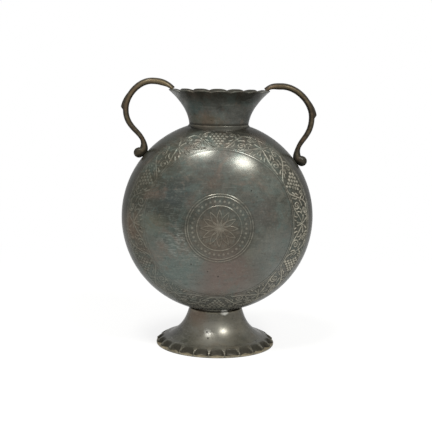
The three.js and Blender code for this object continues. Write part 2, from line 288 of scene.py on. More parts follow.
# Handles
HANDLE_OVERHANG = 30.9
HANDLE_INSET = 2.4
ARCH_HOLDS = (0.3, 0.45)
WAIST_HOLDS = (0.55, 0.42)
ARCH_THICKNESS = 4.5
ELBOW_THICKNESS = 3.9
WAIST_THICKNESS = 3.2
WIDTH_OVER_THICKNESS = 1.3
STRAP_SQUARENESS = 0.75
BALL_RADIUS = 3.75
BALL_SEAT = 0.1
PEAR_LENGTH = 13.0
CURL_IN = 3.7
CURL_RISE = 4.6
CURL_TILT = 20.0
CURL_HOLD = 0.6
SEAT_TAPER = 10.0
SEAT_THINNESS = 0.3
SEAT_POINTS = 12
HANDLE_SINK = 0.6
RIM_SINK = 1.5 * HANDLE_SINK
SPUR_HEIGHT = 1.5
SPUR_ABOVE_ELBOW = 1.5
SPUR_RAMP = 10.0
SPUR_DROP = 2.0
BEND_STEPS = 199
HANDLE_STATIONS = (70, 8, 44, 20)
BALL_STATIONS = 14
HANDLE_SIDES = 40
LEFT_SET = {"arch_out": 12.3, "arch_rise": 5.8, "elbow_drop": 14.6, "ball_angle": 38.6}
RIGHT_SET = {"arch_out": 8.6, "arch_rise": 3.4, "elbow_drop": 18.5, "ball_angle": 34.3}

# Bead, grooves and spine of a handle's strap, as shares of its section
BEAD_HALF = 0.42
BEAD_SHARE = 0.07
GROOVE_PLACE = 0.60
GROOVE_HALF = 0.24
GROOVE_SHARE = 0.10
SPINE_RISE = 0.3
SPINE_HALF = 0.35
DULL_FROM = 0.4
DULL_SHARE = 0.75
# Painted shade darkens the strap's outer and inner edges; the grooves hold dirt
STRAP_EDGE = (0.6, 0.9)
STRAP_EDGE_SHADE = 0.8
PEAR_DIRT = 0.65

# Camera, as fitted to the photograph's outline
PHOTO_PIXELS = 432
SENSOR_WIDTH = 36.0
VIEW_DISTANCE = 738.2
VIEW_ELEVATION = 8.3
VIEW_TURN = 1.9
VIEW_ROLL = 1.05
FOCAL_PIXELS = 1004.2
VIEW_CENTRE = (217.2, 216.4)


def smooth(value, start, end):
    """0 before start, 1 after end, and an S curve between them."""
    share = np.clip((value - start) / (end - start), 0, 1)
    return share * share * (3 - 2 * share)


def blend(a, b, share):
    """a where share is 0 and b where it is 1."""
    return a + (b - a) * share


def ridge(distance, half_width):
    """Height of a rounded line, from 1 on it to 0 at its edge."""
    return np.cos(np.clip(np.abs(distance) / half_width, 0, 1) * math.pi / 2) ** 2


def knob(reach):
    """Height of a round bump, from 1 at its middle to 0 at a reach of 1."""
    return np.sqrt(np.clip(1 - reach**2, 0, 1))


def waves(angle, parts):
    """Sum of sine waves of (height, number, start) round the body."""
    return sum(height * np.sin(number * angle + start) for height, number, start in parts)


def from_nearest(turn, step):
    """Angle from the nearest of the turns that are a step apart."""
    return (turn + step / 2) % step - step / 2


def from_middle(angle, count):
    """0 at the middle of each of a ring of equal parts, and 1 between two of them."""
    part = angle * count / (2 * math.pi)
    return 2 * np.abs(part - np.round(part))


def round_turn(count):
    """Evenly spaced angles round a full turn, in radians."""
    return np.arange(count) * 2 * math.pi / count


def bezier(points, count):
    """Points along a cubic curve."""
    a, b, c, d = (np.array(p, float) for p in points)
    t = np.linspace(0, 1, count)[:, None]
    return a * (1 - t) ** 3 + 3 * b * t * (1 - t) ** 2 + 3 * c * t * t * (1 - t) + d * t**3


def arc(centre, radius, start, end, count):
    """Points along an arc, from one angle to another."""
    turn = np.radians(np.linspace(start, end, count))
    return np.stack([centre[0] + radius * np.cos(turn), centre[1] + radius * np.sin(turn)], 1)


def unit(ways):
    """Directions drawn to a length of 1."""
    return ways / np.linalg.norm(ways, axis=-1, keepdims=True)


def beside(points, distance):
    """A line beside another, to the left of its direction."""
    along = unit(np.gradient(points, axis=0))
    return points + distance * np.stack([-along[:, 1], along[:, 0]], 1)


# Meshes from rings of points

def faces_between(first_a, count_a, first_b, count_b):
    """Faces between two rings round one axis, which may differ in their number of points."""
    if count_a == count_b:
        here = np.arange(count_a)
        after = (here + 1) % count_a
        quads = [first_a + here, first_b + here, first_b + after, first_a + after]
        return np.stack(quads, 1).tolist()
    faces = []
    i = j = 0
    while i < count_a or j < count_b:
        a, b = first_a + i % count_a, first_b + j % count_b
        if j == count_b or (i < count_a and (i + 1) * count_b <= (j + 1) * count_a):
            i += 1
            faces.append((a, b, first_a + i % count_a))
        else:
            j += 1
            faces.append((a, b, first_b + j % count_b))
    return [face for face in faces if len(set(face)) == 3]


def set_mark(mesh, mark, values):
    attribute = mesh.attributes.new(mark, "FLOAT", "POINT")
    attribute.data.foreach_set("value", np.asarray(values, np.float32))


def added(name, data):
    """A new object in the scene."""
    made = bpy.data.objects.new(name, data)
    bpy.context.scene.collection.objects.link(made)
    return made


def skin(name, rings, closed=False, sharp=40, marks=None):
    """An object from rings of points. A mark has the values of each ring's points."""
    sizes = [len(ring) for ring in rings]
    starts = np.cumsum([0] + sizes[:-1])
    faces = []
    for k in [*range(1, len(rings)), *[0] * closed]:
        faces += faces_between(starts[k - 1], sizes[k - 1], starts[k], sizes[k])
    mesh = bpy.data.meshes.new(name)
    mesh.from_pydata((np.concatenate(rings) * MM).tolist(), [], faces)
    solid = bmesh.new()
    solid.from_mesh(mesh)
    if solid.calc_volume(signed=True) < 0:
        mesh.flip_normals()
    solid.free()
    for mark, values in (marks or {}).items():
        set_mark(mesh, mark, np.concatenate(values))
    mesh.shade_smooth()
    mesh.set_sharp_from_angle(angle=math.radians(sharp))
    return added(name, mesh)


def cut(piece, tool):
    """Takes the tool's solid away from a piece and removes the tool."""
    change = piece.modifiers.new("cut", "BOOLEAN")
    change.object = tool
    change.operation = "DIFFERENCE"
    change.solver = "MANIFOLD"
    graph = bpy.context.evaluated_depsgraph_get()
    made = bpy.data.meshes.new_from_object(piece.evaluated_get(graph))
    piece.modifiers.clear()
    piece.data = made
    bpy.data.objects.remove(tool)


def turned(outline, count, shape=None):
    """Rings of an outline of (radius, height) turned about the upright axis. Shape changes the
    radius and height of each ring by the angle, which is 0 at the front."""
    angle = round_turn(count)
    rings = []
    for index, (radius, height) in enumerate(outline):
        out, up = np.full(count, float(radius)), np.full(count, float(height))
        if shape:
            out, up = shape(index, out, up, angle)
        rings.append(np.stack([out * np.sin(angle), -out * np.cos(angle), up], 1))
    return rings


def turned_tool(name, outline, count):
    """A cutting tool turned from an outline that starts and ends on the axis."""
    rings = turned(outline, count)
    rings[0], rings[-1] = rings[0][:1], rings[-1][:1]
    return skin(name, rings)


# Body

def dome_depth(radius, size=BODY_RADIUS, half_depth=BODY_HALF_DEPTH):
    """Depth of a dome from the seam's plane, at a radius from the body's axis."""
    share = np.clip(np.asarray(radius, float) / size, 0, 1)
    return half_depth * (1 - share**DOME_FULLNESS) ** (1 / DOME_FULLNESS)


def dome_normal(radius, depth):
    """Outward direction on the dome, as (along the radius, along the depth)."""
    out = (radius / BODY_RADIUS) ** (DOME_FULLNESS - 1) / BODY_RADIUS
    deep = (depth / BODY_HALF_DEPTH) ** (DOME_FULLNESS - 1) / BODY_HALF_DEPTH
    length = np.hypot(out, deep)
    return out / length, deep / length


# Distance over the dome from its middle, at steps of the radius
table_radius = np.linspace(0, BODY_RADIUS * 0.999, 4000)
table_steps = np.hypot(np.diff(table_radius), np.diff(dome_depth(table_radius)))
table_distance = np.concatenate([[0], np.cumsum(table_steps)])


def over_dome(radius):
    """Distance over the dome's surface from its middle."""
    return np.interp(radius, table_radius, table_distance)


def radius_at(distance):
    return np.interp(distance, table_distance, table_radius)


MIDDLE_RADIUS = (BAND_INNER + BAND_OUTER) / 2
HALF_SECTOR = math.pi / SECTORS * MIDDLE_RADIUS
BAND_MIDDLE = (over_dome(BAND_INNER) + over_dome(BAND_OUTER)) / 2
BAND_HALF = (over_dome(BAND_OUTER) - over_dome(BAND_INNER)) / 2


def curl(middle, radius, start, turns):
    """A spiral that winds in from an angle in degrees, to the left with positive turns."""
    share = np.linspace(0, 1, SPIRAL_POINTS)
    angle = math.radians(start) + turns * 2 * math.pi * share
    reach = radius * (1 - SPIRAL_IN * share**SPIRAL_EASE)
    return np.array(middle) + np.stack([reach * np.cos(angle), reach * np.sin(angle)], 1)


def vine_lines():
    """Lines of the vine, as points and half widths. The stem swings out towards the leaf."""
    along = np.linspace(-VINE_GRID_MARGIN, HALF_SECTOR + VINE_GRID_MARGIN, STEM_POINTS)
    across = STEM_SWING * (2 * smooth(np.abs(along), *STEM_TURNS) - 1)
    yield np.stack([along, across], 1), STEM_HALF
    yield bezier([*LEAF_STALK, (HALF_SECTOR, LEAF_PLACE)], STALK_POINTS), STROKE_HALF
    for lead, count, winding in TENDRILS:
        spiral = curl(*winding)
        yield np.concatenate([bezier([*lead, spiral[0]], count), spiral]), STROKE_HALF
    for stroke in STROKES:
        yield bezier(stroke, STROKE_POINTS), STROKE_HALF


def distance_to(path, along, across):
    """Least distance from each point to a path's points."""
    least = np.full(along.shape, np.inf)
    for x, y in path:
        np.minimum(least, (along - x) ** 2 + (across - y) ** 2, out=least)
    return np.sqrt(least)


def leaf(along, across, spread):
    """Rays of a leaf whose middle is at the origin, each a drop that widens outwards."""
    reach = np.hypot(along, across)
    turn = np.arctan2(across, along) + LEAF_LEAN_RADIANS
    off = np.abs(from_nearest(turn, 2 * math.pi / LEAF_RAYS)) * reach
    half = RAY_HALF + RAY_GROWTH * np.clip(reach / LEAF_LENGTH, 0, 1) ** RAY_CURVE + spread
    end = 1 - smooth(reach, RAY_ROUND_FROM * LEAF_LENGTH + spread, LEAF_LENGTH + spread)
    return ridge(off, half) * end * smooth(reach, *LEAF_EYE)


def vine_field(spread):
    """Grid of the vine's heights from 0 to 1, from a bunch to a leaf. Spread widens its lines."""
    edge = BAND_HALF + VINE_GRID_MARGIN
    along = np.arange(0, HALF_SECTOR + VINE_GRID_STEP, VINE_GRID_STEP)
    across = np.arange(-edge, edge, VINE_GRID_STEP)
    along, across = np.meshgrid(along, across, indexing="ij")
    height = LEAF_HEIGHT * leaf(along - HALF_SECTOR, across - LEAF_PLACE, spread)
    for line, half in vine_lines():
        np.maximum(height, ridge(distance_to(line, along, across), half + spread), out=height)
    radius = GRAPE_RADIUS + ROUND_HALO_SHARE * spread
    for row, count in enumerate(GRAPE_ROWS):
        up = GRAPE_TIP + GRAPE_ROW_SHARE * row * GRAPE_STEP
        for k in range(count):
            aside = (k - (count - 1) / 2) * GRAPE_STEP
            np.maximum(height, knob(np.hypot(along - aside, across - up) / radius), out=height)
    return height


def vine(field, angle, distance):
    """Value of a vine field at an angle round the body and a distance over it."""
    sector = 2 * math.pi / SECTORS
    folded = np.abs(from_nearest(angle + waves(angle, ALONG_WANDER), sector))
    across = distance - BAND_MIDDLE + waves(angle, ACROSS_WANDER)
    last_row, last_column = (size - 1.001 for size in field.shape)
    row = np.clip(folded * MIDDLE_RADIUS / VINE_GRID_STEP, 0, last_row)
    column = np.clip((across + BAND_HALF + VINE_GRID_MARGIN) / VINE_GRID_STEP, 0, last_column)
    i, j = row.astype(int), column.astype(int)
    u, v = row - i, column - j
    near = field[i, j] * (1 - v) + field[i, j + 1] * v
    far = field[i + 1, j] * (1 - v) + field[i + 1, j + 1] * v
    return near * (1 - u) + far * u


vine_heights = vine_field(0.0)
vine_halo = vine_field(HALO_REACH)


def rosette(x, z, spread):
    """Height of the round field's rings, beads and crossing petals. Spread widens their lines."""
    reach = np.hypot(x, z)
    half = FIELD_LINE_HALF + spread
    height = np.zeros_like(reach)
    for ring in FIELD_RINGS:
        height = np.maximum(height, ridge(reach - ring, half))
    middle = (FIELD_RINGS[1] + FIELD_RINGS[2]) / 2
    aside = from_nearest(np.arctan2(x, z), 2 * math.pi / FIELD_BEADS) * middle
    bead_radius = FIELD_BEAD_RADIUS + ROUND_HALO_SHARE * spread
    bead = knob(np.hypot(aside, reach - middle) / bead_radius)
    height = np.maximum(height, ROSETTE_SHARE * bead)
    inside = smooth(ROSETTE_RADIUS + half - reach, 0, PETAL_FADE)
    for k in range(ROSETTE_PETALS):
        way = 2 * math.pi * k / ROSETTE_PETALS
        centre = ROSETTE_RADIUS * np.array([math.sin(way), math.cos(way)])
        line = ridge(np.hypot(x - centre[0], z - centre[1]) - ROSETTE_RADIUS, half)
        height = np.maximum(height, ROSETTE_SHARE * line * inside)
    return height


def body_relief(x, z, with_field):
    """Relief on a shell at a place seen from its front: how far it stands out, how much it is
    rubbed, how dark it is from dirt and from painted shade, and how matt it is."""
    distance, angle = over_dome(np.hypot(x, z)), np.arctan2(x, z) % (2 * math.pi)
    contrast = REAR_CONTRAST
    if with_field:
        contrast = np.interp(np.degrees(angle), *zip(*BAND_CONTRAST))
    relief = blend(LEAST_RELIEF, 1, contrast)
    within = smooth(BAND_HALF - np.abs(distance - BAND_MIDDLE), 0.0, BAND_FADE)
    shape, halo = (vine(field, angle, distance) for field in (vine_heights, vine_halo))
    stand = relief * (VINE_HEIGHT * shape - GROUND_DEPTH) * within
    rub = contrast * shape * within
    dirt_and_shade = (GROUND_DIRT + HALO_DIRT * contrast**0.5 * halo) * (1 - shape) * within
    inner, outer = BAND_MIDDLE - BAND_HALF, BAND_MIDDLE + BAND_HALF
    # Painted shade: the brim past the band's outer edge is darkened over the upper part
    brim = smooth(distance, outer, outer + BRIM_SHADE_REACH) * smooth(z, *BRIM_SHADE_HEIGHTS)
    dirt_and_shade = np.maximum(dirt_and_shade, BRIM_SHADE * brim)
    for edge in (inner, inner - LINE_GAP, outer):
        line = ridge(distance - edge, LINE_HALF)
        beyond = ridge(distance - edge - LINE_RUB_OUT, LINE_RUB_HALF)
        stand -= LINE_DEPTH * line * relief
        rub = np.maximum(rub, LINE_RUB * contrast * beyond)
        dirt_and_shade = np.maximum(dirt_and_shade, line * relief)
    if with_field:
        lines, halo = (rosette(x, z + FIELD_DROP, spread) for spread in (0.0, HALO_REACH))
        ground = 1 - smooth(np.hypot(x, z + FIELD_DROP), FIELD_RADIUS - FIELD_FADE, FIELD_RADIUS)
        between = np.maximum(FIELD_GROUND_DIRT * ground, FIELD_HALO_DIRT * halo) * (1 - lines)
        stand += FIELD_HEIGHT * lines
        rub = np.maximum(rub, FIELD_RUB * lines)
        dirt_and_shade = np.maximum(dirt_and_shade, between)
    return stand, rub, dirt_and_shade, within


def shell_rows(with_field):
    """Radius and number of points of each ring on the outside of a shell, up to the seam."""
    rows = [(0.0, 1)]
    plain_from = PLAIN_FROM_MIDDLE
    if with_field:
        plain_from = FIELD_RADIUS + PLAIN_FROM_FIELD
        for radius in FIELD_RING_RADII:
            rows.append((radius, next(n for end, n in FIELD_RING_POINTS if radius < end)))
    band_from = over_dome(BAND_INNER) - BAND_RINGS_PAST[0]
    band_to = over_dome(BAND_OUTER) + BAND_RINGS_PAST[1]
    plain_to = radius_at(band_from) - PLAIN_TO_BAND
    step, points = PLAIN_RINGS
    rows += [(radius, points) for radius in np.arange(plain_from, plain_to, step)]
    step, points = BAND_RINGS
    rows += [(radius_at(s), points) for s in np.arange(band_from, band_to, step)]
    count, points = BRIM_RINGS
    power = 2 / DOME_FULLNESS
    start = math.asin((rows[-1][0] / BODY_RADIUS) ** (1 / power))
    for turn in np.linspace(start, math.pi / 2, count)[1:-1]:
        rows.append((BODY_RADIUS * math.sin(turn) ** power, points))
    return rows


def mark_shell(mesh, facing):
    """Marks the outside of a shell where it is rubbed, where it is dark from dirt and from painted
    shade, and where it is matt.
    """
    x, y, z = np.array([vertex.co for vertex in mesh.vertices]).T / MM
    x, z = -facing * x, z - BODY_CENTRE_Z
    level = (np.hypot(x, z) / BODY_RADIUS) ** DOME_FULLNESS
    level += (np.abs(y) / BODY_HALF_DEPTH) ** DOME_FULLNESS
    _, *values = body_relief(x, z, facing == FRONT)
    for mark, value in zip(("rub", "dirt_and_shade", "matt"), values):
        set_mark(mesh, mark, value * (level > OUTSIDE_LEVEL))


def shell(name, facing):
    """Half of the body. The front has the round field, and the rear a lip that laps inside it."""
    rings = []

    def place(radius, depth, count, outside=False):
        angle = round_turn(count)
        x, z = radius * np.sin(angle), radius * np.cos(angle)
        deep = np.full(count, float(depth))
        if outside:
            stand = body_relief(x, z, facing == FRONT)[0]
            out, away = dome_normal(np.full(count, float(radius)), deep)
            x, z = x + stand * out * np.sin(angle), z + stand * out * np.cos(angle)
            deep = deep + stand * away
        rings.append(np.stack([-facing * x, facing * deep, BODY_CENTRE_Z + z], 1))

    for radius, count in shell_rows(facing == FRONT):
        place(radius, dome_depth(radius), count, outside=True)
    for turn in np.radians(SEAM_TURNS):
        out = BODY_RADIUS - SEAM_ROUND * (1 - math.sin(turn)) * SEAM_DRAW
        place(out, SEAM_HALF_GAP + SEAM_ROUND * (1 - math.cos(turn)), BRIM_RINGS[1])
    inner, inner_depth = BODY_RADIUS - SHELL_WALL, BODY_HALF_DEPTH - SHELL_WALL
    edge, inside_from = [(inner, SEAM_HALF_GAP)], INSIDE_FROM
    if facing == REAR:
        lap_radius = inner - LAP_GAP
        lip_inside = lap_radius - LAP_WALL
        edge = [(lap_radius, SEAM_HALF_GAP), (lap_radius, -LAP_LENGTH)]
        edge += [(lip_inside, -LAP_LENGTH), (lip_inside, LAP_LENGTH)]
        inside_from = LAP_LENGTH + inner - lip_inside
    count, points = INSIDE_RINGS
    for deep in np.linspace(inside_from, inner_depth, count)[:-1]:
        edge.append((dome_depth(deep, inner_depth, inner), deep))
    for radius, deep in edge:
        place(radius, deep, points)
    place(0, inner_depth, 1)
    piece = skin(name, rings)
    low, high = BODY_CENTRE_Z, BODY_CENTRE_Z + BODY_RADIUS + NECK_HOLE_PAST
    hole = [(0, low), (NECK_HOLE_RADIUS, low), (NECK_HOLE_RADIUS, high), (0, high)]
    cut(piece, turned_tool("hole", hole, NECK_HOLE_POINTS))
    mark_shell(piece.data, facing)
    return piece


# Neck and its collar

def neck_outline():
    base = np.array([NECK_BASE_RADIUS, NECK_BASE_Z])
    return bezier([base, base + NECK_STEM, RIM - RIM_FLARE, RIM], NECK_RINGS)


def squared(value):
    """A sine or cosine drawn towards a square corner."""
    return math.copysign(abs(value) ** LIP_SQUARENESS, value)


def neck():
    """Flared neck, whose rim is a ring of round lobes that meet in sharp notches."""
    outside = neck_outline()
    rim_z = RIM[1]
    thinned = smooth(outside[:, 1], rim_z - RIM_TAPER, rim_z)[:, None]
    inside = beside(outside, blend(NECK_WALL, RIM_WALL, thinned))
    inside[0] = (NECK_BASE_RADIUS - NECK_WALL, NECK_BASE_Z - NECK_SINK)
    outside[0, 1] -= NECK_SINK
    slope = unit(outside[-1] - outside[-2])
    across = np.array([-slope[1], slope[0]])
    lip = []
    for turn in np.radians(np.linspace(0, 180, LIP_RINGS)):
        point = outside[-1] + across * (RIM_WALL / 2) * (1 - squared(math.cos(turn)))
        lip.append(point + slope * LIP_ROUND * (squared(math.sin(turn)) - 1))
    stem = [p for p in outside[:-1] if p[1] < lip[0][1] - LIP_MARGIN]
    back = [p for p in inside[:-1] if p[1] < lip[-1][1] - LIP_MARGIN]
    outline = np.array(stem + lip + back[::-1])
    rub, dirt_and_shade = [], []

    def lobed(index, out, up, angle):
        on_lip = len(stem) <= index < len(stem) + len(lip)
        # Painted shade: the flare is darkened near the rim on the front and back, under the lip
        flare = np.clip(1 - (rim_z - up) / FLARE_SHADE_REACH, 0, 1)
        flare = flare * smooth(np.abs(np.cos(angle)), *FLARE_SHADE_FLANKS)
        base = 1 - smooth(up - NECK_BASE_Z, *NECK_BASE_DIRT)
        rub.append(np.full_like(angle, LIP_RUB * on_lip))
        dirt_and_shade.append(np.full_like(angle, LIP_DIRT) if on_lip else np.maximum(flare, base))
        aside = from_middle(angle, RIM_LOBES)
        near = np.clip(1 - (rim_z - up) / LOBE_REACH, 0, 1)
        notch = LOBE_NOTCH * near * aside**LOBE_SHARPNESS
        swell = LOBE_SWELL * near * (1 - 2 * aside**SWELL_SHARPNESS)
        return out - slope[0] * notch + swell, up - slope[1] * notch - SWELL_DROP * swell

    rings = turned(outline, RIM_LOBES * LOBE_POINTS, lobed)
    return skin("flared_neck", rings, closed=True, sharp=50, marks={"rub": rub, "dirt_and_shade": dirt_and_shade})


def body_top(x, y):
    """Height of the body's outside over a place near its top."""
    radius = dome_depth(np.abs(y), BODY_HALF_DEPTH, BODY_RADIUS)
    return BODY_CENTRE_Z + np.sqrt(radius**2 - x**2)


def neck_collar():
    """Ring that carries the neck, with its underside on the body and a spigot through the hole."""
    top = NECK_BASE_Z - COLLAR_GAP
    outer = NECK_BASE_RADIUS + COLLAR_STEP
    throat = NECK_BASE_RADIUS - NECK_WALL
    spigot = throat + SPIGOT_WALL
    inside = BODY_HALF_DEPTH - SHELL_WALL, BODY_RADIUS - SHELL_WALL
    spigot_end = BODY_CENTRE_Z - SPIGOT_REACH + float(dome_depth(NECK_HOLE_RADIUS, *inside))
    rows = [
        (spigot, "seat", COLLAR_SEAT, 0.0, 1.0),
        *((outer + past, *rest) for past, *rest in COLLAR_RINGS),
        (throat, "top", 0.0, 0.1, 0.2),
        (throat, "end", 0.0, 0.0, 0.5),
        (spigot, "end", 0.0, 0.0, 0.5),
    ]
    rub, dirt_and_shade = [], []

    def seated(index, out, up, angle):
        _, zone, over, rubbed, dirty = rows[index]
        rub.append(np.full_like(angle, rubbed))
        dirt_and_shade.append(np.full_like(angle, dirty))
        seat = body_top(out * np.sin(angle), -out * np.cos(angle))
        squeezed = np.minimum(seat + COLLAR_OVER_BODY, top + over * COLLAR_SQUEEZE)
        heights = {
            "seat": seat + over,
            "fillet": np.minimum(seat + over, top - COLLAR_EDGE),
            "top": np.maximum(top + over, squeezed),
            "end": up,
        }
        return out, heights[zone]

    rings = turned([(row[0], spigot_end) for row in rows], COLLAR_POINTS, seated)
    return skin("collar_ring", rings, closed=True, sharp=50, marks={"rub": rub, "dirt_and_shade": dirt_and_shade})


# Foot

def foot_outline():
    """Outline of the foot, and the zone of each of its points."""
    lip = np.array([FOOT_LIP_RADIUS, FOOT_HEIGHT - FOOT_LIP_ROUND])
    sweep = np.array([TRUMPET_RADIUS, TRUMPET_HEIGHT])
    trumpet = bezier([sweep, sweep + TRUMPET_SWEEP, lip + FOOT_STEM, lip], TRUMPET_RINGS)
    inside = beside(trumpet, FOOT_WALL)[::3][::-1]
    lip_round = arc((FOOT_LIP_RADIUS - FOOT_LIP_ROUND, lip[1]), FOOT_LIP_ROUND, 0, 90, 7)[1:]
    standing = FLANGE_RADIUS - FLANGE_EDGE_ROUND
    base_ring = [
        *arc((standing, FLANGE_EDGE_ROUND), FLANGE_EDGE_ROUND, -90, 0, 5),
        (FLANGE_RADIUS, BASE_RING_HEIGHT - BASE_RING_ROUND[1]),
        (FLANGE_RADIUS - BASE_RING_ROUND[0], BASE_RING_HEIGHT),
    ]
    edge = np.array([FLANGE_RADIUS, FLANGE_EDGE_HEIGHT])
    along = unit(sweep - edge)
    ways = np.arange(SLOPE_RINGS) / SLOPE_RINGS
    crown = 4 * FLANGE_CROWN * (ways * (1 - ways))[:, None] * np.array([along[1], -along[0]])
    slope = edge + (sweep - edge) * ways[:, None] + crown
    hidden = [(FOOT_LIP_RADIUS - FOOT_WALL, FOOT_HEIGHT), *inside, (standing - STANDING_WIDTH, 0)]
    parts = [
        ("under", base_ring[:3]),
        ("plain", base_ring[3:4]),
        ("edge", base_ring[4:]),
        ("slope", slope),
        ("plain", trumpet[:-1]),
        ("lip", [lip, *lip_round]),
        ("plain", hidden),
    ]
    outline = [point for _, points in parts for point in points]
    return np.array(outline), [zone for zone, points in parts for _ in points]


def foot():
    """Hollow foot. Its flange has short scooped flutes with an arched end and a thin ridge
    between each two, over a plain base ring."""
    outline, zones = foot_outline()
    slope_from = zones.index("slope")
    rub, dirt_and_shade, matt = [], [], []

    def fluted(index, out, up, angle):
        zone, way = zones[index], (index - slope_from) / SLOPE_RINGS
        aside = from_middle(angle, FLUTES)
        if zone != "slope":
            none = np.zeros_like(angle)
            rub.append({"edge": 1 - aside**2, "lip": none + FOOT_LIP_RUB}.get(zone, none))
            # The base ring's underside is darkened as painted shade
            dirt_and_shade.append({"under": none + BASE_RING_SHADE}.get(zone, none))
            matt.append(none)
            return out, up
        crest = blend(*RIDGE_SHARE, min(1, way / FLUTE_REACH))
        arch = np.clip(aside / (1 - crest), 0, 1)
        bow = 1 - arch**2
        past = FLUTE_REACH * np.sqrt(1 - arch**FLUTE_ARCH) - way
        floor = FLUTE_FLOOR + FLUTE_FALL * (FLANGE_RADIUS - out)
        fallen = smooth(past, 0, FLUTE_WALL)
        bite = FLUTE_BITE * bow * (1 - smooth(way, 0, FLUTE_BITE_REACH))
        crescent = smooth(CRESCENT_REACH * bow - way, *CRESCENT_FADE)
        crescent = crescent * smooth(fallen, *CRESCENT_FLOOR)
        hollow = smooth(past, *HOLLOW_FADE) * (1 - crescent)
        on_ridge = ridge(1 - aside, RIDGE_HALF * crest) * (1 - smooth(way, *RIDGE_END))
        rub.append(np.maximum(RIDGE_RUB * on_ridge, crescent))
        dirt_and_shade.append(hollow * (1 - on_ridge))
        matt.append(hollow)
        return out - bite, up - fallen * np.maximum(0, up - floor)

    rings = turned(outline, FLUTES * FLUTE_POINTS, fluted)
    marks = {"rub": rub, "dirt_and_shade": dirt_and_shade, "matt": matt}
    return skin("trumpet_foot", rings, closed=True, sharp=35, marks=marks)


# Handles

def handle_path(side, arch_out, arch_rise, elbow_drop, ball_angle):
    """Middle line of a handle from the rim to the tip of its ball, the distance along it of each
    point, and the distances at which its bends end."""
    up, down = math.radians(ball_angle), math.radians(CURL_TILT)
    reach = BODY_RADIUS + COLLAR_GAP + BALL_RADIUS - BALL_SEAT
    seat = RIM - (HANDLE_INSET, 0)
    apex = RIM + (arch_out, arch_rise)
    elbow = RIM + (HANDLE_OVERHANG, -elbow_drop)
    ball = np.array([reach * math.cos(up), BODY_CENTRE_Z + reach * math.sin(up)])
    heel = ball + (-CURL_IN, CURL_RISE)
    way = np.array([math.cos(down), -math.sin(down)])
    span, fall, hold = apex[0] - seat[0], elbow[1] - heel[1], CURL_HOLD * CURL_RISE
    bends = [
        [seat, seat + ARCH_HOLDS[0] * span, apex - (ARCH_HOLDS[1] * span, 0), apex],
        [apex, ((apex + elbow)[0] / 2, apex[1]), (elbow[0], (apex + elbow)[1] / 2), elbow],
        [elbow, elbow - (0, WAIST_HOLDS[0] * fall), heel + (0, WAIST_HOLDS[1] * fall), heel],
        [heel, heel - (0, hold), ball - hold * way, ball],
        [ball + way * BALL_RADIUS * third / 3 for third in range(4)],
    ]
    line = np.concatenate([[seat]] + [bezier(bend, BEND_STEPS + 1)[1:] for bend in bends])
    at = np.concatenate([[0], np.cumsum(np.linalg.norm(np.diff(line, axis=0), axis=1))])
    return line * (side, 1), at, at[BEND_STEPS::BEND_STEPS]


def seat_tool():
    """Solid of the neck with its rim, sunk a little, which a handle's end is cut to."""
    outside = beside(neck_outline(), HANDLE_SINK)
    sink = RIM_SINK * unit(outside[-1] - outside[-2])
    outside -= sink
    crest = beside(neck_outline(), RIM_WALL)[-1] - sink
    outline = [(0, outside[0][1]), *outside, crest, (0, crest[1])]
    return turned_tool("seat", outline, RIM_LOBES * SEAT_POINTS)


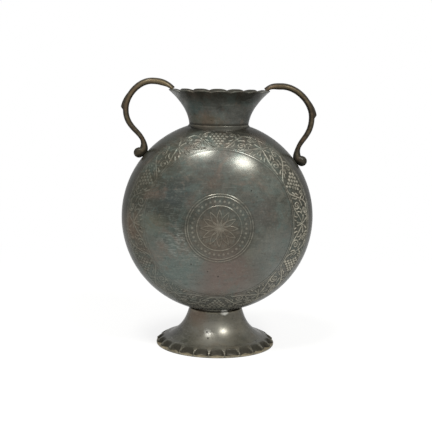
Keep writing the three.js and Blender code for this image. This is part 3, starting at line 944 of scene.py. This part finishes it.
def handle(name, side, placing):
    """Cast handle: a strap, thinner towards its waist, with a spur on its outside and a ball."""
    line, at, (_, elbow_at, heel_at, ball_at, whole) = handle_path(side, **placing)
    spur_at = elbow_at - SPUR_ABOVE_ELBOW
    ends = [0, spur_at, spur_at + SPUR_DROP, heel_at, ball_at]
    stations = [np.linspace(*stretch)[:-1] for stretch in zip(ends, ends[1:], HANDLE_STATIONS)]
    stations.append(ball_at + BALL_RADIUS * np.sin(np.linspace(0, math.pi / 2, BALL_STATIONS)))
    stations = np.concatenate(stations)
    stations[-1] = whole
    middle, along = (
        np.stack([np.interp(stations, at, values) for values in table.T], 1)
        for table in (line, np.gradient(line, at, axis=0))
    )
    along = unit(along)
    outward = side * np.stack([-along[:, 1], along[:, 0]], 1)
    arch = blend(ARCH_THICKNESS, ELBOW_THICKNESS, np.clip(stations / elbow_at, 0, 1))
    strap = blend(arch, WAIST_THICKNESS, smooth(stations, elbow_at, heel_at)) / 2
    swell = smooth(stations, ball_at - PEAR_LENGTH, ball_at)
    past_ball = np.clip((stations - ball_at) / BALL_RADIUS, 0, 1)
    half = blend(strap, BALL_RADIUS, swell) * np.sqrt(1 - past_ball**2)
    roundness = smooth(stations, heel_at - PEAR_LENGTH, heel_at)
    power = blend(STRAP_SQUARENESS, 1, roundness)
    width = half * blend(WIDTH_OVER_THICKNESS, 1, roundness)
    spur = np.interp(stations - spur_at, [-SPUR_RAMP, 0, SPUR_DROP], [0, SPUR_HEIGHT, 0])
    under = blend(SEAT_THINNESS, 1, smooth(stations, 0, SEAT_TAPER))
    dull = DULL_SHARE * smooth(stations, DULL_FROM * elbow_at, heel_at)
    turn = round_turn(HANDLE_SIDES)
    c, s = np.cos(turn), np.sin(turn)
    bead = ridge(c, BEAD_HALF)
    groove = ridge(np.abs(c) - GROOVE_PLACE, GROOVE_HALF)
    # Dirt in the grooves, and painted shade along the strap's outer and inner edges
    edge = groove + STRAP_EDGE_SHADE * smooth(np.abs(c), *STRAP_EDGE)
    rings, rub, dirt_and_shade = [], [], []
    for k in range(len(stations)):
        strap_share = 1 - roundness[k]
        out = half[k] * np.where(c < 0, -under[k], 1) * np.abs(c) ** power[k]
        out += spur[k] * np.clip(c, 0, None) ** 2
        out += SPINE_RISE * strap_share * ridge(s, SPINE_HALF) * (c > 0)
        across = width[k] * np.sign(s) * np.abs(s) ** power[k]
        across *= 1 + strap_share * (BEAD_SHARE * bead - GROOVE_SHARE * groove)
        x, z = middle[k][:, None] + outward[k][:, None] * out
        rings.append(np.stack([x, across, z], 1))
        rub.append(bead * (1 - dull[k]))
        dirt_and_shade.append(np.clip(edge + PEAR_DIRT * swell[k], 0, 1))
    for values in (rings, rub, dirt_and_shade):
        values[-1] = values[-1][:1]
        values.insert(0, values[0].mean(0, keepdims=True))
    piece = skin(name, rings, sharp=50, marks={"rub": rub, "dirt_and_shade": dirt_and_shade})
    cut(piece, seat_tool())
    return piece


# Finishes

class Wire:
    """A node's output that can stand in Python expressions."""

    def __init__(self, paint, socket):
        self.paint = paint
        self.socket = socket

    def math(self, operation, *others):
        return self.paint.maths(operation, self, *others)

    def __add__(self, other):
        return self.math("ADD", other)

    __radd__ = __add__

    def __mul__(self, other):
        return self.math("MULTIPLY", other)

    __rmul__ = __mul__

    def __sub__(self, other):
        return self.math("SUBTRACT", other)

    def __rsub__(self, other):
        return self.paint.maths("SUBTRACT", other, self)

    def __truediv__(self, other):
        return self.math("DIVIDE", other)

    def __pow__(self, other):
        return self.math("POWER", other)

    def clamped(self):
        return self.math("MINIMUM", 1.0).math("MAXIMUM", 0.0)


class Paint:
    """The nodes of a material or of the world."""

    def __init__(self, owner):
        owner.use_nodes = True
        self.owner = owner
        self.tree = owner.node_tree
        self.tree.nodes.clear()

    def node(self, kind, inputs=None, settings=None, output=0):
        """Adds a node: its settings first, then the values or wires of its sockets."""
        made = self.tree.nodes.new("ShaderNode" + kind)
        for key, value in (settings or {}).items():
            setattr(made, key, value)
        for key, value in (inputs or {}).items():
            if isinstance(value, Wire):
                self.tree.links.new(value.socket, made.inputs[key])
            else:
                made.inputs[key].default_value = value
        return Wire(self, made.outputs[output]) if made.outputs else None

    def maths(self, operation, *values):
        return self.node("Math", dict(enumerate(values)), {"operation": operation})

    def mix(self, share, a, b):
        """Colour a where share is 0 and b where it is 1."""
        a, b = (colour if isinstance(colour, Wire) else (*colour, 1.0) for colour in (a, b))
        return self.node("Mix", {0: share, 6: a, 7: b}, {"data_type": "RGBA"}, output=2)

    def noise(self, *values):
        """Noise at a place, by its scale, detail, roughness and distortion."""
        names = ("Vector", "Scale", "Detail", "Roughness", "Distortion")
        return self.node("TexNoise", dict(zip(names, values)))

    def drawn_noise(self, place, across, up, *values):
        """Noise whose scale across differs from its scale up."""
        drawn = self.node("Mapping", {"Vector": place, "Scale": (across, across, up)})
        return self.noise(drawn, 1.0, *values)

    def step(self, value, start, end):
        """0 before start and 1 after end, smoothly."""
        sockets = {"Value": value, "From Min": start, "From Max": end}
        return self.node("MapRange", sockets, {"interpolation_type": "SMOOTHSTEP"})

    def mark(self, name):
        return self.node("Attribute", None, {"attribute_name": name}, "Fac")

    def place(self):
        return self.node("TexCoord", output="Object")

    def seen(self):
        """1 to the camera, in reflections and through clear things, and 0 to other light."""
        rays = ("Camera", "Glossy", "Transmission")
        return sum(self.node("LightPath", output=f"Is {ray} Ray") for ray in rays).clamped()


# Colours that the finishes share
GOLD = (0.420, 0.393, 0.318)
BRASS = (0.290, 0.250, 0.172)
WORN_BRONZE = (0.128, 0.099, 0.060)
PALE_GRAIN = (0.225, 0.225, 0.200)
DARK_GRAIN = (0.026, 0.027, 0.023)
SCRATCHED = (0.260, 0.250, 0.220)
DIRT_AND_SHADE = (0.026, 0.024, 0.018)
PIT = (0.016, 0.015, 0.012)

# Stains and painted light, as (x, height over the body's middle, radius, stretch, colour, strength)
FRONT_STAINS_AND_LIGHT = [
    # Painted reflection of the pale floor on the body's underside
    (0, -64, 40, 1.6, (0.152, 0.152, 0.138), 0.75),
    (3, -34, 24, 1.1, (0.120, 0.088, 0.076), 0.7),
    (-30, -30, 24, 1.1, (0.100, 0.120, 0.110), 0.8),
    (44, -22, 24, 1.0, (0.114, 0.122, 0.112), 0.7),
    (-36, 16, 25, 1.0, (0.030, 0.034, 0.028), 0.8),
    # Painted shade along the body's left edge
    (-62, 14, 15, 0.6, (0.040, 0.041, 0.031), 0.7),
    (-30, 24, 13, 1.2, (0.040, 0.052, 0.052), 0.6),
    (-42, 44, 24, 1.0, (0.040, 0.039, 0.028), 0.75),
    (-54, 28, 16, 1.0, (0.042, 0.040, 0.028), 0.7),
    (50, -42, 20, 1.0, (0.180, 0.182, 0.172), 0.6),
    # Painted shade along the body's right edge
    (64, 18, 18, 0.5, (0.040, 0.038, 0.030), 0.7),
    (52, 42, 15, 0.9, (0.046, 0.047, 0.037), 0.5),
    (-46, -46, 16, 1.0, (0.140, 0.143, 0.131), 0.5),
    (-60, -4, 14, 0.8, (0.116, 0.088, 0.064), 0.75),
    (-47, 0, 9, 1.5, (0.088, 0.090, 0.062), 0.5),
    (-5, 30, 6, 1.0, (0.130, 0.078, 0.052), 0.5),
    (-19, 16, 6, 1.0, (0.110, 0.070, 0.054), 0.5),
    (27, 10, 18, 0.8, (0.062, 0.060, 0.054), 0.6),
    # Painted sheen of the lamps between the two highlights
    (0, 50, 20, 1.6, (0.112, 0.113, 0.104), 0.6),
    (2, 30, 28, 1.4, (0.056, 0.057, 0.050), 0.55),
    (0, 60, 11, 3.2, (0.044, 0.044, 0.036), 0.7),
    (-2, -6, 18, 1.0, (0.112, 0.090, 0.068), 0.65),
    (-30, -12, 12, 1.2, (0.270, 0.280, 0.255), 0.6, "broken"),
    (-18, -24, 8, 1.0, (0.270, 0.265, 0.235), 0.5, "broken"),
    (-40, 12, 32, 0.9, (0.125, 0.135, 0.115), 0.3, "broken"),
    (-34, -34, 24, 1.0, (0.210, 0.220, 0.195), 0.35, "broken"),
]
NECK_STAINS_AND_LIGHT = [
    (-11, 70, 8, 2.2, (0.096, 0.074, 0.048), 0.7),
    # Painted shade under the flaring rim, left and right of the middle
    (-14, 90, 7, 2.0, (0.014, 0.015, 0.012), 0.7),
    (16, 89, 8, 2.0, (0.014, 0.014, 0.011), 0.75),
    (-18, 82, 8, 0.8, (0.056, 0.080, 0.074), 0.6),
    # Painted reflections, pale on the flare's left and right flanks
    (-33, 90, 9, 0.7, (0.300, 0.306, 0.292), 0.85),
    (-26, 80, 8, 0.5, (0.190, 0.196, 0.186), 0.6),
    (33, 88, 9, 0.7, (0.280, 0.286, 0.278), 0.85),
    (26, 79, 8, 0.5, (0.170, 0.175, 0.168), 0.6),
]
FOOT_STAINS_AND_LIGHT = [
    (-13, -72, 8, 1.0, (0.135, 0.088, 0.060), 0.5),
    # Painted sheen and a painted highlight on the trumpet's front
    (-2, -82, 11, 1.6, (0.230, 0.224, 0.196), 0.5),
    (-6.5, -81.5, 3, 1.0, (0.420, 0.415, 0.380), 0.7),
    # Painted glint on the foot's lip
    (6, -68, 2, 1.6, (0.720, 0.715, 0.660), 0.85),
    (-6.7, -81.0, 0.7, 1.0, PIT, 0.9),
    (-6.0, -84.6, 0.7, 1.0, PIT, 0.9),
    # Painted shade on the flange's left and right flanks
    (-28, -89, 10, 1.5, (0.064, 0.065, 0.052), 0.65),
    (31, -89, 12, 1.4, (0.074, 0.072, 0.057), 0.65),
    (-26, -88, 14, 1.5, (0.170, 0.166, 0.140), 0.4, "broken"),
]
HANDLE_STAINS = [
    (-47, 97, 15, 1.2, (0.150, 0.120, 0.070), 0.55),
    (-62, 86, 9, 1.0, (0.100, 0.064, 0.036), 0.5),
    (50, 92, 17, 1.2, (0.044, 0.033, 0.019), 0.7),
    (61, 43, 10, 1.0, (0.012, 0.013, 0.011), 0.9),
]
SPOT_CORE = 0.35
SPOT_EDGE = 1.15
SPOT_SIDE_FADE = 2.0

# Patches all over, as (noise scale, where they begin, strength, colour)
BODY_PATCHES = [
    (40, 0.48, 0.36, (0.080, 0.112, 0.102)),
    (34, 0.52, 0.36, (0.140, 0.098, 0.076)),
    (210, 0.54, 0.30, (0.086, 0.126, 0.116)),
    (180, 0.55, 0.30, (0.150, 0.110, 0.084)),
]
FOOT_PATCHES = [
    (30, 0.50, 0.36, (0.120, 0.096, 0.066)),
    (52, 0.52, 0.34, (0.094, 0.100, 0.084)),
    (190, 0.55, 0.30, (0.160, 0.146, 0.104)),
]
HANDLE_PATCHES = [
    (60, 0.48, 0.45, (0.090, 0.052, 0.032)),
    (74, 0.50, 0.45, (0.108, 0.088, 0.044)),
    (230, 0.52, 0.45, (0.020, 0.017, 0.013)),
]
PATCH_FADE = 0.14


def lay_spots(paint, place, warp, flecks, colour, spots):
    """Lays soft spots over a colour on a piece's front: stains, and painted highlights, reflections
    and shade. A broken one shows only on the flecks.
    """
    x, y, z = (paint.node("SeparateXYZ", {0: place}, output=axis) for axis in "XYZ")
    ahead = paint.step(y, 0.0, -SPOT_SIDE_FADE * MM)
    for across, up, radius, stretch, tint, strength, *broken in spots:
        size = radius * MM
        dx = (x - across * MM) / stretch
        dz = z - (BODY_CENTRE_Z + up) * MM
        reach = (dx * dx + dz * dz) ** 0.5 + (warp - 0.5) * size
        share = (1 - paint.step(reach, SPOT_CORE * size, SPOT_EDGE * size)) * ahead * strength
        colour = paint.mix(share * flecks if broken else share, colour, tint)
    return colour


def patina(name, light, dark, bare, rubbed, rough, coat, patches=BODY_PATCHES, spots=()):
    """Aged bronze: a clouded skin with patches, pits, dirt in hollows and metal rubbed bare. Its
    spots and its dark mark also lay painted highlights, reflections and shade.
    """
    paint = Paint(bpy.data.materials.new(name))
    place = paint.place()
    cloud = paint.noise(place, 28, 5, 0.6, 0.4)
    mottle = paint.noise(place, 150, 6, 0.68, 0.7)
    fleck = paint.noise(place, 850, 4, 0.62, 0.3)
    brush = paint.drawn_noise(place, 110, 620, 4, 0.6, 0.4)
    hairs = paint.step(paint.drawn_noise(place, 260, 1300, 3, 0.6, 0.6), 0.52, 0.62)
    scratch = paint.step(paint.drawn_noise(place, 60, 900, 2, 0.5, 0.0), 0.66, 0.76)
    cell = paint.node("TexVoronoi", {"Vector": place, "Scale": 170.0})
    pit = paint.step(cell, 0.13, 0.07) * paint.step(cloud, 0.55, 0.60)
    dirt_and_shade, matt = paint.mark("dirt_and_shade"), paint.mark("matt")
    wear = paint.step(mottle * 0.5 + brush * 0.5, 0.36, 0.62)
    rub = (paint.mark("rub") * (0.25 + wear)).clamped()
    colour = paint.mix(paint.step(cloud * 0.5 + mottle * 0.5, 0.36, 0.64), dark, light)
    colour = lay_spots(paint, place, mottle * 0.6 + cloud * 0.4, hairs, colour, spots)
    for scale, start, share, tint in patches:
        patch = paint.step(paint.noise(place, scale, 6, 0.7, 1.2), start, start + PATCH_FADE)
        colour = paint.mix(patch * share, colour, tint)
    grain = fleck * 0.55 + brush * 0.45
    layers = [
        (paint.step(grain, 0.52, 0.68) * 0.24, PALE_GRAIN),
        (paint.step(grain, 0.48, 0.34) * 0.4, DARK_GRAIN),
        (pit * 0.8, PIT),
        # Dark of dirt in hollows, and of painted shade where the dark mark carries it
        ((dirt_and_shade * (0.55 + mottle * 0.6)).clamped(), DIRT_AND_SHADE),
        (rub * rubbed, bare),
        (scratch * 0.15, SCRATCHED),
    ]
    for share, tint in layers:
        colour = paint.mix(share, colour, tint)
    roughness = rough + (mottle - 0.5) * 0.14 + dirt_and_shade * 0.2 + rub * 0.1 + matt * 0.12
    height = mottle * 0.00002 + fleck * 0.000003 - pit * 0.0001
    bump = paint.node("Bump", {"Strength": 0.5, "Distance": 1.0, "Height": height})
    sockets = {
        "Base Color": colour,
        "Roughness": roughness.clamped(),
        "Metallic": 0.5,
        "Coat Weight": coat * (1 - matt * 0.7),
        "Coat Roughness": 0.2,
        "Specular IOR Level": 0.1,
        "Specular Tint": (0.15, 0.15, 0.15, 1.0),
        "Normal": bump,
    }
    paint.node("OutputMaterial", {"Surface": paint.node("BsdfPrincipled", sockets)})
    return paint.owner


FINISHES = {
    "front": patina(
        "front_patina", (0.108, 0.107, 0.089), (0.048, 0.049, 0.040), GOLD,
        rubbed=0.8, rough=0.26, coat=0.18, spots=FRONT_STAINS_AND_LIGHT,
    ),
    "rear": patina(
        "rear_patina", (0.110, 0.110, 0.095), (0.062, 0.063, 0.054), GOLD,
        rubbed=0.7, rough=0.30, coat=0.16,
    ),
    "neck": patina(
        "neck_patina", (0.088, 0.090, 0.080), (0.040, 0.041, 0.036), GOLD,
        rubbed=0.5, rough=0.32, coat=0.1, spots=NECK_STAINS_AND_LIGHT,
    ),
    "foot": patina(
        "foot_patina", (0.136, 0.128, 0.102), (0.086, 0.080, 0.062), BRASS,
        rubbed=0.95, rough=0.34, coat=0.25, patches=FOOT_PATCHES, spots=FOOT_STAINS_AND_LIGHT,
    ),
    "handle": patina(
        "handle_bronze", (0.050, 0.040, 0.026), (0.020, 0.016, 0.011), WORN_BRONZE,
        rubbed=0.6, rough=0.38, coat=0.1, patches=HANDLE_PATCHES, spots=HANDLE_STAINS,
    ),
}

# Stage, with its own sizes in metres
FLOOR_HALF = 4.0
FLOOR_GREY = (0.88, 0.88, 0.87, 1.0)
FLOOR_WHITE_FROM = (0.10, 0.45)
FLOOR_GLOW = 0.8
WORLD_LIGHT = 0.65
LAMP_DISTANCE = 0.9
LAMP_COLOUR = (1.0, 0.985, 0.95)
NEAREST_SEEN = 0.01


def pale_floor():
    """Floor that shows white, with the object's shadow near its middle."""
    paint = Paint(bpy.data.materials.new("pale_floor"))
    reach = paint.node("VectorMath", {0: paint.place()}, {"operation": "LENGTH"}, "Value")
    glow = FLOOR_GLOW + paint.step(reach, *FLOOR_WHITE_FROM) * (1 - FLOOR_GLOW)
    matt = paint.node("BsdfDiffuse", {"Color": FLOOR_GREY})
    white = paint.node("Emission", {"Color": (1, 1, 1, 1)})
    both = paint.node("MixShader", {0: paint.seen() * glow, 1: matt, 2: white})
    paint.node("OutputMaterial", {"Surface": both})
    corners = [(x * FLOOR_HALF, y * FLOOR_HALF, 0) for x, y in ((-1, -1), (1, -1), (1, 1), (-1, 1))]
    mesh = bpy.data.meshes.new("floor")
    mesh.from_pydata(corners, [], [(0, 1, 2, 3)])
    mesh.materials.append(paint.owner)
    floor = added("floor", mesh)


def studio_world():
    """World that is seen as white and lights the object less than that."""
    paint = Paint(bpy.data.worlds.new("studio"))
    strength = WORLD_LIGHT + paint.seen() * (1 - WORLD_LIGHT)
    sky = paint.node("Background", {"Color": (1, 1, 1, 1), "Strength": strength})
    paint.node("OutputWorld", {"Surface": sky})
    bpy.context.scene.world = paint.owner


def aim(name, data, turn, elevation, distance, roll=0.0):
    """Points a lamp or camera at the body, from degrees to the right of its front and degrees up."""
    a, e = math.radians(turn), math.radians(elevation)
    way = Vector((math.sin(a) * math.cos(e), -math.cos(a) * math.cos(e), math.sin(e)))
    look = way.to_track_quat("Z", "Y").to_matrix()
    made = added(name, data)
    made.location = Vector((0, 0, BODY_CENTRE_Z * MM)) + way * distance
    made.rotation_euler = (look @ Matrix.Rotation(math.radians(roll), 3, "Z")).to_euler()
    return made


def lamp(name, turn, elevation, size, power):
    data = bpy.data.lights.new(name, "AREA")
    data.shape = "RECTANGLE"
    data.size, data.size_y = size
    data.energy = power
    data.color = LAMP_COLOUR
    aim(name, data, turn, elevation, LAMP_DISTANCE)


def camera():
    data = bpy.data.cameras.new("camera")
    data.sensor_width = SENSOR_WIDTH
    data.lens = FOCAL_PIXELS / PHOTO_PIXELS * SENSOR_WIDTH
    data.clip_start = NEAREST_SEEN
    data.shift_x = 0.5 - VIEW_CENTRE[0] / PHOTO_PIXELS
    data.shift_y = VIEW_CENTRE[1] / PHOTO_PIXELS - 0.5
    view = (-VIEW_TURN, VIEW_ELEVATION, VIEW_DISTANCE * MM, VIEW_ROLL)
    bpy.context.scene.camera = aim("camera", data, *view)


def give_finish(piece, look):
    piece.data.materials.clear()
    piece.data.materials.append(FINISHES[look])


def dress(piece, node, look):
    give_finish(piece, look)
    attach(piece, "root")
    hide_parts(node)


camera()
dress(shell("front_dome", FRONT), "front_shell", "front")
dress(shell("rear_dome", REAR), "rear_shell", "rear")
dress(neck(), "neck", "neck")
dress(neck_collar(), "neck_collar", "neck")
dress(foot(), "foot", "foot")
dress(handle("left_scroll", LEFT, LEFT_SET), "left_handle", "handle")
dress(handle("right_scroll", RIGHT, RIGHT_SET), "right_handle", "handle")
give_finish(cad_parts["foot_collar"], "foot")
pale_floor()
studio_world()
lamp("key_lamp", turn=35, elevation=50, size=(0.215, 0.18), power=5.0)
lamp("top_lamp", turn=-34, elevation=67, size=(0.235, 0.19), power=6.0)
bpy.context.scene.view_settings.view_transform = "Standard"
